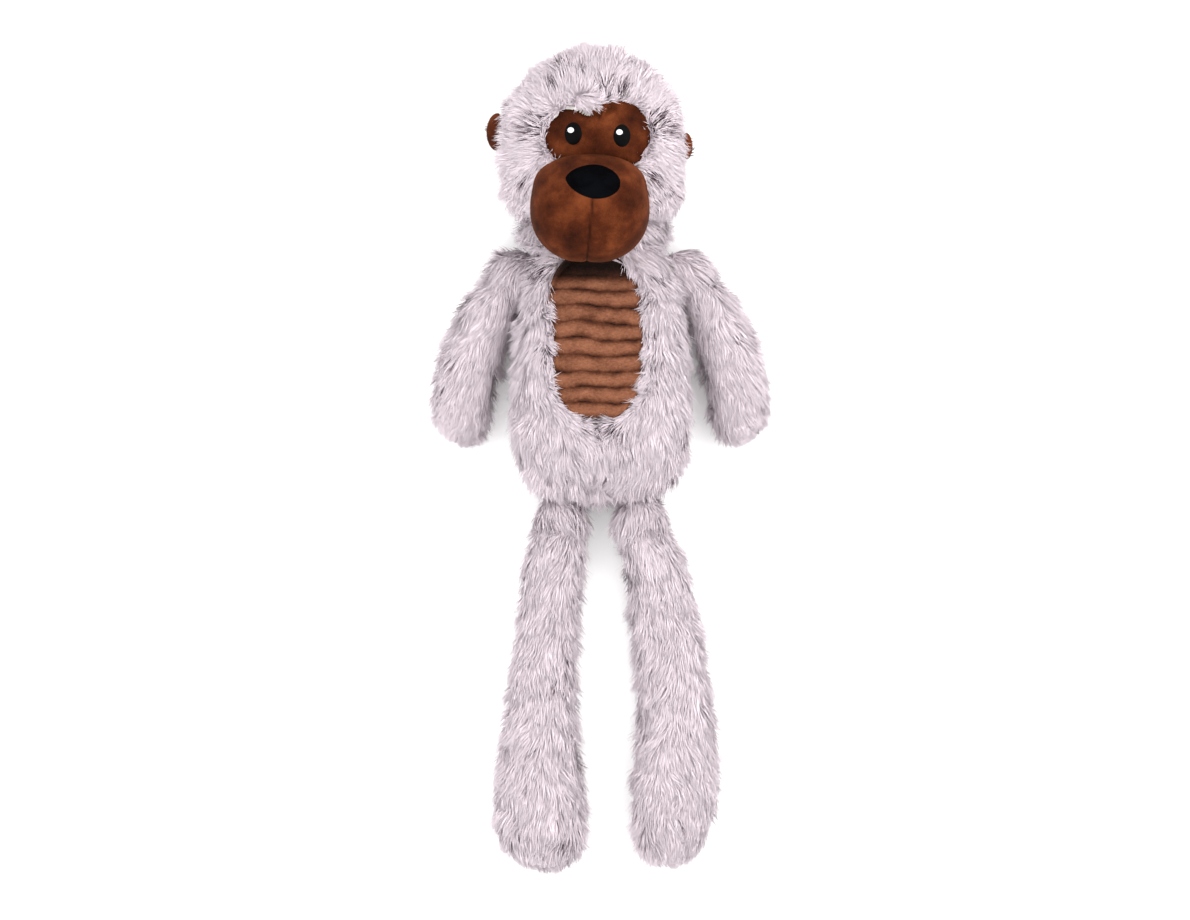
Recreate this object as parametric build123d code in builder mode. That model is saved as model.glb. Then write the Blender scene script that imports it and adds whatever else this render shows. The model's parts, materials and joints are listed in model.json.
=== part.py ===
"""A long-legged stuffed monkey, lying on its back.

The toy is sewn from flat panels and stuffed: a head with a padded muzzle, a torso with a ribbed belly panel,
two arms and two legs. Every cover is a shell around its own filling. Unstuffed, gathered gussets at the neck,
the shoulders and the hips are what the head and the limbs turn on.

Millimetres. The origin is in the middle of the torso's back, on the surface that the toy lies on.
+Z is up, out of the toy's front, +Y is towards the head, and the toy's face looks along +Z.
The "left" pieces are those at -X, and the "right" pieces those at +X.
"""

import os
from math import cos, radians, sin

from build123d import *

# Fabric thicknesses. The long pile is counted as it lies when pressed down.
FUR_THICKNESS = 5.0
SHORT_PILE_THICKNESS = 2.0
RIBBED_THICKNESS = 2.6
EMBROIDERY_THICKNESS = 0.8
NOSE_THICKNESS = 2.2
FIT_GAP = 0.2  # between a cover and its filling
TURN_GAP = 0.5  # between a gusset and what turns on it
FLOOR = 0.0
LEAST_HALF_SIZE = 0.3  # of the narrow end of a filling

# A stuffed form is a loft through ellipses: (place along the form, sideways centre, half width, lowest, highest).
TORSO_FORM = [
    (82, 0, 21, 12, 34),
    (77, 0, 31, 6, 41),
    (68, 0, 38.5, 1, 47),
    (55, 0, 43.5, -2, 53),
    (30, 0, 48, -3, 59),
    (-5, 0, 51.5, -4, 62),
    (-35, 0, 52, -4, 61),
    (-55, 0, 48, -2, 54),
    (-67, 0, 40, 3, 43),
    (-74, 0, 29, 12, 30),
]
TORSO_SEAM_HEIGHT = 28.0

HEAD_CENTRE_X = -5.4
HEAD_FORM = [
    (90, 0, 30, 10, 46),
    (96, 0, 41, 3, 58),
    (106, 0, 50, -1, 70),
    (122, 0, 52.5, -3, 78),
    (142, 0, 52, -3, 82),
    (160, 0, 48, -1, 80),
    (174, 0, 40, 5, 72),
    (184, 0, 28, 14, 60),
    (191, 0, 13, 26, 48),
]
HEAD_SEAM_HEIGHT = 38.0

# The form of a limb is measured from its gusset: (distance from the gusset, outwards, half width, lowest, highest).
ARM_FORM = [
    (6, 1, 9, 7, 21),
    (16, 2.5, 12, 3, 25),
    (40, 6, 14.6, -1, 24.8),
    (65, 5.6, 15.5, -1, 26),
    (88, 2, 15.4, -1, 26),
    (100, -1.5, 12.4, 2, 23),
    (107, -4, 6.6, 7, 18.2),
]
ARM_LEAN = 20.0  # degrees outwards from the torso
ARM_SEAM_HEIGHT = 12.5
LEFT_LEG_FORM = [
    (8, 2, 12, 9, 25),
    (20, 3, 14.2, 4, 30),
    (50, 6.5, 14.2, -1, 26.5),
    (90, 10, 15.8, -1, 29.5),
    (125, 12.5, 18.5, -1.5, 33),
    (165, 12.5, 23, -1.5, 36),
    (190, 11.5, 22.5, -1.5, 36),
    (202, 10, 17.5, 2, 31),
    (210, 9, 9.5, 8, 24),
]
RIGHT_LEG_FORM = [
    (8, 2.5, 12, 9, 25),
    (20, 6, 14.2, 4, 30),
    (45, 12.2, 16, -1, 27.5),
    (75, 16, 17.5, -1, 29.5),
    (110, 20.5, 18.5, -1.5, 32),
    (150, 21.5, 21.5, -1.5, 35),
    (180, 19.5, 20.5, -1.5, 35),
    (198, 17.5, 16, 2, 30),
    (207, 17, 9, 8, 23),
]
LEG_SEAM_HEIGHT = 16.5

# Gussets: the ball of gathered fabric that a head or limb turns on.
NECK_PIVOT = (-3.0, 86.0, 27.0)
NECK_GUSSET_RADIUS = 13.5
SHOULDER_PIVOT = (52.0, 62.0, 14.0)
SHOULDER_GUSSET_RADIUS = 9.5
HIP_PIVOT = (24.0, -87.0, 17.0)
HIP_GUSSET_RADIUS = 12.0

# Face.
MUZZLE_CENTRE = (-6.6, 98.0, 75.0)
MUZZLE_RADII = (36.0, 33.0, 32.0)
FACE_LOBES = [(-19.9, 142.5, 12.6, 17.8), (15.0, 143.5, 14.0, 18.8)]  # x, y and the two radii of each
FACE_BRIDGE_TOP = 155.5
FACE_BRIDGE_BOTTOM = 118.0
EYE_RADII = (5.3, 7.0)
EYES = {"left": (-16.6, 142.9), "right": (12.7, 141.7)}
HIGHLIGHT_RADII = (2.0, 1.7)
HIGHLIGHT_OFFSET = (-1.5, 2.1)  # from the middle of its eye
HIGHLIGHT_THICKNESS = 0.4
NOSE_RADII = (17.2, 10.6)
NOSE_CENTRE = (-4.8, 114.0)
NOSE_TILT = -7.0

# Ears: (place along the head, degrees folded back from straight out).
EARS = {"left": (144.5, 54.0), "right": (136.0, 64.0)}
EAR_ROOT_GAP = 2.4
EAR_ROOT_HEIGHT = 38.0
EAR_REACH = 12.5
EAR_HALF_LENGTH = 12.5
EAR_HINGE_STRIP = 1.6
EAR_FRONT_THICKNESS = 1.6
EAR_BACK_THICKNESS = 2.0

# Belly panel.
BELLY_CENTRE = (-2.0, 20.0)
BELLY_SIZE = (56.0, 100.0)

# Squeaker and the hand-sewn seam that closes the back.
SQUEAKER_CENTRE = (0.0, -14.0, 30.0)
SQUEAKER_RADIUS = 22.0
SQUEAKER_HEIGHT = 20.0
SQUEAKER_WALL = 1.2
SQUEAKER_EDGE = 6.0
REED_RADIUS = 3.4
REED_LENGTH = 9.0
REED_BORE = 1.2
REED_FLANGE_RADIUS = 5.2
REED_FLANGE_THICKNESS = 1.6
STITCH_COUNT = 11
STITCH_PITCH = 7.0
STITCH_LENGTH = 7.0
STITCH_RADIUS = 0.45
STITCH_HEIGHT = 0.7
STITCH_GAP = 0.05

TALL = 300.0  # longer than anything that a prism has to pass through

SIDES = {"left": -1, "right": 1}

os.makedirs("parts", exist_ok=True)


def shrunk(form, inset):
    """The ellipses of a form, smaller by inset, and drawn together along its length by as much at each end.

    Each is (place along the form, sideways centre, height of its centre, half width, half height).
    """
    first, last = form[0][0], form[-1][0]
    middle = (first + last) / 2
    shorter = 1 - 2 * inset / abs(first - last)
    return [
        (
            middle + (along - middle) * shorter,
            side,
            (low + high) / 2,
            max(half_width - inset, LEAST_HALF_SIZE),
            max((high - low) / 2 - inset, LEAST_HALF_SIZE),
        )
        for along, side, half_width, low, high in form
    ]


def stuffed(form, inset=0.0, frame=Plane.XY):
    """The solid of a form in a frame, made smaller by inset, and flat where it lies on the surface."""
    with BuildPart() as solid:
        for along, side, height, half_width, half_height in shrunk(form, inset):
            section = Plane(origin=(side, along, height), x_dir=(1, 0, 0), z_dir=(0, 1, 0))
            with BuildSketch(Plane(frame.location * section.location)):
                Ellipse(half_width, half_height)
        loft()
        split(bisect_by=Plane.XY.offset(FLOOR + inset), keep=Keep.TOP)
    return solid.part


def prism(sketch):
    """A tall upright prism on a flat outline, above the surface."""
    with BuildPart() as solid:
        add(sketch)
        extrude(amount=TALL)
    return solid.part


def kept(whole, cut=(), inside=None, planes=()):
    """The part of a solid inside a prism, without the solids in cut, and on the kept side of each plane."""
    with BuildPart() as piece:
        add(whole)
        if inside is not None:
            add(inside, mode=Mode.INTERSECT)
        for solid in cut:
            add(solid, mode=Mode.SUBTRACT)
        for plane, side in planes:
            split(bisect_by=plane, keep=side)
    return piece.part


def save(part, name):
    part.label = name
    export_step(part, f"parts/{name}.step")
    print(name, len(part.solids()), "solid", round(part.volume), "mm3", "valid" if part.is_valid else "INVALID")


def ball(centre, radius):
    with BuildPart() as solid:
        with Locations(centre):
            Sphere(radius)
    return solid.part


def ellipsoid(centre, radii):
    """A ball stretched to three radii."""
    with BuildPart() as solid:
        Sphere(1.0)
        scale(by=tuple(radii))
    return solid.part.moved(Location(centre))


def on_side(point, side):
    return (point[0] * side, point[1], point[2])


def middle_plane(x):
    return Plane(origin=(x, 0, 0), z_dir=(1, 0, 0))


# ---------------------------------------------------------------- gussets

neck_room = ball(NECK_PIVOT, NECK_GUSSET_RADIUS + TURN_GAP)


def gusset(pivot, radius, name):
    """Gathered, unstuffed fabric: a ball, flat where it would meet the surface."""
    with BuildPart() as bunch:
        with Locations(pivot):
            Sphere(radius)
        split(bisect_by=Plane.XY.offset(FLOOR), keep=Keep.TOP)
    save(bunch.part, name)


gusset(NECK_PIVOT, NECK_GUSSET_RADIUS, "neck_gusset")
for side_name, side_sign in SIDES.items():
    gusset(on_side(SHOULDER_PIVOT, side_sign), SHOULDER_GUSSET_RADIUS, f"shoulder_gusset_{side_name}")
    gusset(on_side(HIP_PIVOT, side_sign), HIP_GUSSET_RADIUS, f"hip_gusset_{side_name}")

# ---------------------------------------------------------------- torso

torso_outside = stuffed(TORSO_FORM)
torso_inside = stuffed(TORSO_FORM, FUR_THICKNESS)
torso_belly_face = stuffed(TORSO_FORM, FUR_THICKNESS - RIBBED_THICKNESS)

with BuildSketch() as belly_outline:
    with Locations(BELLY_CENTRE):
        SlotOverall(BELLY_SIZE[1], BELLY_SIZE[0], rotation=90)
with BuildSketch() as belly_window_outline:
    add(belly_outline)
    offset(amount=FIT_GAP)
above_torso_seam = (Plane.XY.offset(TORSO_SEAM_HEIGHT), Keep.TOP)
below_torso_seam = (Plane.XY.offset(TORSO_SEAM_HEIGHT), Keep.BOTTOM)

with BuildPart() as back_seam_stitches:
    seam_threads = Plane(origin=(0, 0, FLOOR + STITCH_HEIGHT), z_dir=(1, 0, 0))
    with Locations(seam_threads):
        with GridLocations(0, STITCH_PITCH, 1, STITCH_COUNT):
            Cylinder(STITCH_RADIUS, STITCH_LENGTH)
with BuildPart() as stitch_holes:
    with Locations(seam_threads):
        with GridLocations(0, STITCH_PITCH, 1, STITCH_COUNT):
            Cylinder(STITCH_RADIUS + STITCH_GAP, STITCH_LENGTH + 2 * STITCH_GAP)

save(
    kept(
        torso_outside,
        cut=[torso_inside, prism(belly_window_outline.sketch), neck_room],
        planes=[above_torso_seam],
    ),
    "torso_fur_front",
)
for side_name, keep in (("left", Keep.BOTTOM), ("right", Keep.TOP)):
    save(
        kept(
            torso_outside,
            cut=[torso_inside, neck_room, stitch_holes.part],
            planes=[below_torso_seam, (middle_plane(0), keep)],
        ),
        f"torso_fur_back_{side_name}",
    )
save(
    kept(
        torso_belly_face,
        cut=[torso_inside, neck_room],
        inside=prism(belly_outline.sketch),
        planes=[above_torso_seam],
    ),
    "belly_panel",
)
save(back_seam_stitches.part, "back_seam_stitches")

# ---------------------------------------------------------------- squeaker, inside the torso's filling

bulb_middle = Plane(origin=SQUEAKER_CENTRE)
with BuildPart() as squeaker_bulb:
    with Locations(bulb_middle):
        Cylinder(SQUEAKER_RADIUS, SQUEAKER_HEIGHT)
    fillet(squeaker_bulb.edges().filter_by(GeomType.CIRCLE), SQUEAKER_EDGE)
squeaker_envelope = squeaker_bulb.part
with BuildPart() as bulb_air:
    with Locations(bulb_middle):
        Cylinder(SQUEAKER_RADIUS - SQUEAKER_WALL, SQUEAKER_HEIGHT - 2 * SQUEAKER_WALL)
    fillet(bulb_air.edges().filter_by(GeomType.CIRCLE), SQUEAKER_EDGE - SQUEAKER_WALL)
with BuildPart() as bulb_hollow:
    add(squeaker_envelope)
    add(bulb_air.part, mode=Mode.SUBTRACT)
    with Locations(bulb_middle.offset(SQUEAKER_HEIGHT / 2)):
        Cylinder(REED_RADIUS + STITCH_GAP, 4 * SQUEAKER_WALL, mode=Mode.SUBTRACT)
save(bulb_hollow.part, "squeaker_bulb")

with BuildPart() as squeaker_reed:
    with Locations(bulb_middle.offset(SQUEAKER_HEIGHT / 2)):
        Cylinder(REED_RADIUS, REED_LENGTH, align=(Align.CENTER, Align.CENTER, Align.MAX))
        Cylinder(REED_FLANGE_RADIUS, REED_FLANGE_THICKNESS, align=(Align.CENTER, Align.CENTER, Align.MIN))
    with Locations(bulb_middle.offset(SQUEAKER_HEIGHT / 2)):
        Cylinder(REED_BORE, 4 * REED_LENGTH, mode=Mode.SUBTRACT)
save(squeaker_reed.part, "squeaker_reed")

with BuildPart() as squeaker_room:
    with Locations(bulb_middle):
        Cylinder(SQUEAKER_RADIUS + FIT_GAP, SQUEAKER_HEIGHT + 2 * FIT_GAP)
    fillet(squeaker_room.edges().filter_by(GeomType.CIRCLE), SQUEAKER_EDGE)
    with Locations(bulb_middle.offset(SQUEAKER_HEIGHT / 2)):
        Cylinder(
            REED_FLANGE_RADIUS + FIT_GAP,
            REED_FLANGE_THICKNESS + FIT_GAP,
            align=(Align.CENTER, Align.CENTER, Align.MIN),
        )
save(
    kept(
        stuffed(TORSO_FORM, FUR_THICKNESS + FIT_GAP),
        cut=[squeaker_room.part, neck_room],
    ),
    "torso_filling",
)

# ---------------------------------------------------------------- head

head_frame = Plane(origin=(HEAD_CENTRE_X, 0, 0))
head_outside = stuffed(HEAD_FORM, 0, head_frame)
head_inside = stuffed(HEAD_FORM, FUR_THICKNESS, head_frame)
head_patch_face = stuffed(HEAD_FORM, FUR_THICKNESS - SHORT_PILE_THICKNESS, head_frame)


def face_shape(grown):
    """The two-lobed outline of the face panel, larger by grown all round."""
    (left_x, _, _, _), (right_x, _, _, _) = FACE_LOBES
    with BuildSketch() as outline:
        for x, y, across, along in FACE_LOBES:
            with Locations((x, y)):
                Ellipse(across + grown, along + grown)
        with Locations(((left_x + right_x) / 2, (FACE_BRIDGE_TOP + FACE_BRIDGE_BOTTOM) / 2)):
            Rectangle(right_x - left_x, FACE_BRIDGE_TOP - FACE_BRIDGE_BOTTOM + 2 * grown)
    return outline.sketch


above_head_seam = (Plane.XY.offset(HEAD_SEAM_HEIGHT), Keep.TOP)
below_head_seam = (Plane.XY.offset(HEAD_SEAM_HEIGHT), Keep.BOTTOM)
face_window = prism(face_shape(FIT_GAP))

for side_name, keep in (("left", Keep.BOTTOM), ("right", Keep.TOP)):
    save(
        kept(
            head_outside,
            cut=[head_inside, face_window, neck_room],
            planes=[above_head_seam, (middle_plane(HEAD_CENTRE_X), keep)],
        ),
        f"head_fur_{side_name}",
    )
save(
    kept(head_outside, cut=[head_inside, neck_room], planes=[below_head_seam]),
    "head_fur_back",
)
save(
    kept(
        head_patch_face,
        cut=[head_inside],
        inside=prism(face_shape(0)),
        planes=[above_head_seam],
    ),
    "face_patch",
)
save(
    kept(stuffed(HEAD_FORM, FUR_THICKNESS + FIT_GAP, head_frame), cut=[neck_room]),
    "head_filling",
)

# Muzzle: two short-pile panels with a seam down the middle, over their own filling.
muzzle_outside = ellipsoid(MUZZLE_CENTRE, MUZZLE_RADII)
muzzle_inside = ellipsoid(MUZZLE_CENTRE, [r - SHORT_PILE_THICKNESS for r in MUZZLE_RADII])
muzzle_core = ellipsoid(MUZZLE_CENTRE, [r - SHORT_PILE_THICKNESS - FIT_GAP for r in MUZZLE_RADII])
for side_name, keep in (("left", Keep.BOTTOM), ("right", Keep.TOP)):
    save(
        kept(
            muzzle_outside,
            cut=[muzzle_inside, head_outside, neck_room],
            planes=[(middle_plane(MUZZLE_CENTRE[0]), keep)],
        ),
        f"muzzle_panel_{side_name}",
    )
save(kept(muzzle_core, cut=[head_outside, neck_room]), "muzzle_filling")

# Nose, eyes and their highlights are flat pieces on the surface below them.
with BuildSketch() as nose_outline:
    with Locations(NOSE_CENTRE):
        Ellipse(*NOSE_RADII, rotation=NOSE_TILT)
save(
    kept(
        ellipsoid(MUZZLE_CENTRE, [r + NOSE_THICKNESS for r in MUZZLE_RADII]),
        cut=[muzzle_outside, head_outside],
        inside=prism(nose_outline.sketch),
        planes=[(Plane.XY.offset(MUZZLE_CENTRE[2]), Keep.TOP)],
    ),
    "nose_patch",
)

eye_depth = FUR_THICKNESS - SHORT_PILE_THICKNESS - EMBROIDERY_THICKNESS
eye_face = stuffed(HEAD_FORM, eye_depth, head_frame)
highlight_face = stuffed(HEAD_FORM, eye_depth - HIGHLIGHT_THICKNESS, head_frame)
for side_name, centre in EYES.items():
    with BuildSketch() as eye_outline:
        with Locations(centre):
            Ellipse(EYE_RADII[1], EYE_RADII[0], rotation=90)
    save(
        kept(
            eye_face,
            cut=[head_patch_face],
            inside=prism(eye_outline.sketch),
            planes=[above_head_seam],
        ),
        f"eye_{side_name}",
    )
    with BuildSketch() as highlight_outline:
        with Locations((centre[0] + HIGHLIGHT_OFFSET[0], centre[1] + HIGHLIGHT_OFFSET[1])):
            Ellipse(*HIGHLIGHT_RADII)
    save(
        kept(
            highlight_face,
            cut=[eye_face],
            inside=prism(highlight_outline.sketch),
            planes=[above_head_seam],
        ),
        f"eye_highlight_{side_name}",
    )

# ---------------------------------------------------------------- ears

head_half_width = max(half_width for _, _, half_width, _, _ in HEAD_FORM)
for side_name, (ear_along, ear_fold) in EARS.items():
    side_sign = SIDES[side_name]
    root = (HEAD_CENTRE_X + side_sign * (head_half_width + EAR_ROOT_GAP), ear_along, EAR_ROOT_HEIGHT)
    outwards = (side_sign * cos(radians(ear_fold)), 0, -sin(radians(ear_fold)))
    facing = (side_sign * sin(radians(ear_fold)), 0, cos(radians(ear_fold)))
    ear_plane = Plane(origin=root, x_dir=outwards, z_dir=facing)
    for layer, amount in (("front", EAR_FRONT_THICKNESS), ("back", -EAR_BACK_THICKNESS)):
        with BuildPart() as ear_panel:
            with BuildSketch(ear_plane):
                with BuildLine():
                    foot = Line((EAR_HINGE_STRIP, -EAR_HALF_LENGTH), (EAR_HINGE_STRIP, EAR_HALF_LENGTH))
                    ThreePointArc(foot @ 1, (EAR_HINGE_STRIP + EAR_REACH, 0), foot @ 0)
                make_face()
            extrude(amount=amount)
        save(ear_panel.part, f"ear_{side_name}_{layer}")

# ---------------------------------------------------------------- arms and legs


def outwards_form(form, side_sign):
    """A limb's form on one side, running down from its gusset along -Y."""
    return [(-along, side_sign * out, half_width, low, high) for along, out, half_width, low, high in form]


def limb(name, form, frame, seam_height, room):
    """A front and a back panel sewn along the limb's sides, and the filling."""
    outside = stuffed(form, 0, frame)
    inside = stuffed(form, FUR_THICKNESS, frame)
    for layer, keep in (("front", Keep.TOP), ("back", Keep.BOTTOM)):
        panel = kept(outside, cut=[inside, room], planes=[(Plane.XY.offset(seam_height), keep)])
        save(panel, f"{name}_fur_{layer}")
    save(kept(stuffed(form, FUR_THICKNESS + FIT_GAP, frame), cut=[room]), f"{name}_filling")


LEG_FORMS = {"left": LEFT_LEG_FORM, "right": RIGHT_LEG_FORM}
for side_name, side_sign in SIDES.items():
    shoulder = on_side(SHOULDER_PIVOT, side_sign)
    limb(
        f"arm_{side_name}",
        outwards_form(ARM_FORM, side_sign),
        Plane(Location((shoulder[0], shoulder[1], 0), (0, 0, side_sign * ARM_LEAN))),
        ARM_SEAM_HEIGHT,
        ball(shoulder, SHOULDER_GUSSET_RADIUS + TURN_GAP),
    )
    hip = on_side(HIP_PIVOT, side_sign)
    limb(
        f"leg_{side_name}",
        outwards_form(LEG_FORMS[side_name], side_sign),
        Plane(Location((hip[0], hip[1], 0))),
        LEG_SEAM_HEIGHT,
        ball(hip, HIP_GUSSET_RADIUS + TURN_GAP),
    )
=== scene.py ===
"""The looks of the stuffed monkey: stuffed skins, their long pile, the velour face and the ribbed belly.

Metres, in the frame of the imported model: +Z up out of the toy's front, +Y towards the top of the head.
Each stuffed form starts from the outside of its CAD solids, is blown up a little by a cloth simulation,
and carries a pile of tapered strands that Geometry Nodes scatter, comb and gather into tufts.
"""

import json
import math

import bmesh
import bpy
import numpy as np
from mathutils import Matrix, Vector, noise
from mathutils.bvhtree import BVHTree


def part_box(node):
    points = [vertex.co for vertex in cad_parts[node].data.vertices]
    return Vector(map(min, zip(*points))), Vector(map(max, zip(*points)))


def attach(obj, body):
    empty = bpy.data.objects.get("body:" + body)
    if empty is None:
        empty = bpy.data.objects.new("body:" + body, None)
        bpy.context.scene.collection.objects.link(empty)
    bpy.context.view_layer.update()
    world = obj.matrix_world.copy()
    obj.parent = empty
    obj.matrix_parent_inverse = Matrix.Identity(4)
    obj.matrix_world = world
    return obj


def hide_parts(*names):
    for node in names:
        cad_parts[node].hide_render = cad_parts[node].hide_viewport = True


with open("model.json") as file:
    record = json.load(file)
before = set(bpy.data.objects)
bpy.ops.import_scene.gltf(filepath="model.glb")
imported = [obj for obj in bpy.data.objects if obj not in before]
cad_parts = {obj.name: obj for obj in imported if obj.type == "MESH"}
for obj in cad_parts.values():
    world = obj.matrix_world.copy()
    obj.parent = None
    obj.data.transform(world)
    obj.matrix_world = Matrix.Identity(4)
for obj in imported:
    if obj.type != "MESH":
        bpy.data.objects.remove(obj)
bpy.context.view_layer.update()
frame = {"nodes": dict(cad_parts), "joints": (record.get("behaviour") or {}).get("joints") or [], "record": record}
noise.seed_set(1)  # noise vectors start from the clock otherwise, and no two runs are the same

MM = 0.001
UP = Vector((0, 0, 1))
SIDES = {"left": -1, "right": 1}
FLOOR = 0.0

# ---------------------------------------------------------------- small tools


def linear(hex_colour):
    """An sRGB hex value as linear RGBA."""
    channels = [int(hex_colour[i : i + 2], 16) / 255 for i in (1, 3, 5)]
    return [c / 12.92 if c <= 0.04045 else ((c + 0.055) / 1.055) ** 2.4 for c in channels] + [1.0]


def add(tree, kind, inputs=None, **settings):
    """Adds a node with its settings. Each input is a value, or the output of another node to link."""
    made = tree.nodes.new(kind)
    for name, value in settings.items():
        setattr(made, name, value)
    for key, value in (inputs or {}).items():
        if isinstance(value, bpy.types.NodeSocket):
            tree.links.new(value, made.inputs[key])
        else:
            made.inputs[key].default_value = value
    return made


def ramp(tree, factor, stops):
    """A colour ramp from (place, hex colour) stops."""
    made = add(tree, "ShaderNodeValToRGB", {0: factor})
    elements = made.color_ramp.elements
    while len(elements) < len(stops):
        elements.new(0.5)
    for element, (place, colour) in zip(elements, stops):
        element.position = place
        element.color = linear(colour)
    return made.outputs["Color"]


def mesh_object(name, vertices, faces, smooth=True):
    mesh = bpy.data.meshes.new(name)
    mesh.from_pydata([tuple(v) for v in vertices], [], faces)
    mesh.update()
    mesh.shade_smooth() if smooth else mesh.shade_flat()
    made = bpy.data.objects.new(name, mesh)
    bpy.context.scene.collection.objects.link(made)
    return made


def facing_out(piece):
    """Turns all faces of a closed mesh outwards."""
    work = bmesh.new()
    work.from_mesh(piece.data)
    bmesh.ops.remove_doubles(work, verts=work.verts, dist=1e-6)
    bmesh.ops.recalc_face_normals(work, faces=work.faces)
    work.to_mesh(piece.data)
    work.free()
    return piece


def settled(piece):
    """Turns the live modifiers of a piece into plain mesh."""
    bpy.context.view_layer.update()
    graph = bpy.context.evaluated_depsgraph_get()
    mesh = bpy.data.meshes.new_from_object(piece.evaluated_get(graph), depsgraph=graph)
    old = piece.data
    piece.modifiers.clear()
    piece.data = mesh
    mesh.name = old.name
    bpy.data.meshes.remove(old)
    return piece


def subdivided(piece, levels=1):
    smoother = piece.modifiers.new("Smooth", "SUBSURF")
    smoother.levels = levels
    smoother.render_levels = levels
    return settled(piece)


def move_points(piece, points):
    """Puts the vertices of a piece at new places."""
    piece.data.vertices.foreach_set("co", points.ravel())
    piece.data.update()


def tube_faces(rings, segments):
    """The quads between closed rings of points."""
    faces = []
    for i in range(rings - 1):
        for j in range(segments):
            k = (j + 1) % segments
            faces.append((i * segments + j, i * segments + k, (i + 1) * segments + k, (i + 1) * segments + j))
    return faces


def disc_faces(turns, rings, first=0):
    """The faces of a disc whose points are its middle, and then its rings from the inside out."""
    faces = [(first, first + 1 + j, first + 1 + (j + 1) % turns) for j in range(turns)]
    for i in range(rings - 1):
        for j in range(turns):
            a = first + 1 + i * turns + j
            b = first + 1 + i * turns + (j + 1) % turns
            faces.append((a, a + turns, b + turns, b))
    return faces


def thickened(piece, thickness):
    """Gives a sheet a thickness, below its upper face."""
    thick = piece.modifiers.new("Thickness", "SOLIDIFY")
    thick.thickness = thickness
    thick.offset = -1
    return settled(piece)


def joint_place(body):
    """Where the joint is that a body turns on."""
    return next(joint for joint in frame["joints"] if joint["child"] == body)["pos_m"]


def coordinates(mesh):
    values = np.empty(len(mesh.vertices) * 3)
    mesh.vertices.foreach_get("co", values)
    return values.reshape(-1, 3)


def normals(mesh):
    values = np.empty(len(mesh.vertices) * 3)
    mesh.vertex_normals.foreach_get("vector", values)
    return values.reshape(-1, 3)


def cad_tree(*nodes):
    """A tree of the faces of CAD nodes, for finding where their outside is."""
    vertices, faces = [], []
    for name in nodes:
        mesh = frame["nodes"][name].data
        first = len(vertices)
        vertices += [v.co.copy() for v in mesh.vertices]
        faces += [[first + i for i in face.vertices] for face in mesh.polygons]
    return BVHTree.FromPolygons(vertices, faces)


def unit(vectors):
    return vectors / np.maximum(np.linalg.norm(vectors, axis=1, keepdims=True), 1e-9)


def smoothstep(low, high, values):
    t = np.clip((values - low) / (high - low), 0, 1)
    return t * t * (3 - 2 * t)


def wandering(points, size, seed, amount=1.0):
    """Smooth random vectors over space, which change over the distance size."""
    shift = Vector((seed * 3.7, seed * 1.3, seed * 2.1))
    return np.array([noise.noise_vector(Vector(p) / size + shift) for p in points]) * amount


# ---------------------------------------------------------------- stage, light and camera

OVERALL_LENGTH = 0.5  # with the pile
FRAME_WIDTH = 1190 / 829 * OVERALL_LENGTH  # what the picture shows from side to side
CAMERA_HEIGHT = 12.0
CAMERA_AIM = Vector((-0.0035, -0.0532, 0.0))
SUBJECT_HEIGHT = 0.035
SENSOR = 36.0


def build_stage():
    bpy.ops.mesh.primitive_plane_add(size=6.0, location=(0, 0, FLOOR))
    floor = bpy.context.active_object
    floor.name = "floor"
    material = bpy.data.materials.new("white seamless paper")
    material.use_nodes = True
    shader = material.node_tree.nodes["Principled BSDF"]
    shader.inputs["Base Color"].default_value = linear("#FBFBFB")
    shader.inputs["Emission Color"].default_value = linear("#FFFFFF")
    shader.inputs["Emission Strength"].default_value = 0.05
    shader.inputs["Roughness"].default_value = 0.9
    shader.inputs["Specular IOR Level"].default_value = 0.1
    floor.data.materials.append(material)

    world = bpy.data.worlds.new("studio")
    bpy.context.scene.world = world
    world.use_nodes = True
    sky = world.node_tree.nodes["Background"]
    sky.inputs["Color"].default_value = linear("#FFFFFF")
    sky.inputs["Strength"].default_value = 1.68

    for name, place, size, power, colour in (
        ("key", (1.0, 0.45, 1.3), 0.9, 9.5, "#FFFDFC"),
        ("fill", (-1.1, -0.5, 1.3), 1.4, 6.0, "#FDFCFF"),
    ):
        light = bpy.data.lights.new(name, "AREA")
        light.size = size
        light.energy = power
        light.color = linear(colour)[:3]
        lamp = bpy.data.objects.new(name, light)
        bpy.context.scene.collection.objects.link(lamp)
        lamp.location = place
        aim = Vector((0, -0.03, 0.03)) - Vector(place)
        lamp.rotation_euler = aim.to_track_quat("-Z", "Y").to_euler()

    lens = bpy.data.cameras.new("camera")
    lens.sensor_width = SENSOR
    lens.lens = SENSOR * (CAMERA_HEIGHT - SUBJECT_HEIGHT) / FRAME_WIDTH
    camera = bpy.data.objects.new("camera", lens)
    bpy.context.scene.collection.objects.link(camera)
    camera.location = CAMERA_AIM + UP * CAMERA_HEIGHT
    bpy.context.scene.camera = camera
    bpy.context.scene.view_settings.view_transform = "Standard"


# ---------------------------------------------------------------- materials

PATTERN_ORIGIN = "Object"


def new_material(name):
    """A material with a Principled shader: returns it, its tree and the shader."""
    material = bpy.data.materials.new(name)
    material.use_nodes = True
    tree = material.node_tree
    return material, tree, tree.nodes["Principled BSDF"]


def object_noise(tree, size, detail=3.0, stretch=(1, 1, 1), roughness=0.5):
    """Noise on Object coordinates whose features are about size metres wide."""
    place = add(tree, "ShaderNodeTexCoord").outputs[PATTERN_ORIGIN]
    mapped = add(tree, "ShaderNodeMapping", {"Vector": place, "Scale": stretch}).outputs["Vector"]
    return add(
        tree,
        "ShaderNodeTexNoise",
        {"Vector": mapped, "Scale": 1 / size, "Detail": detail, "Roughness": roughness},
    ).outputs["Fac"]


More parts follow.
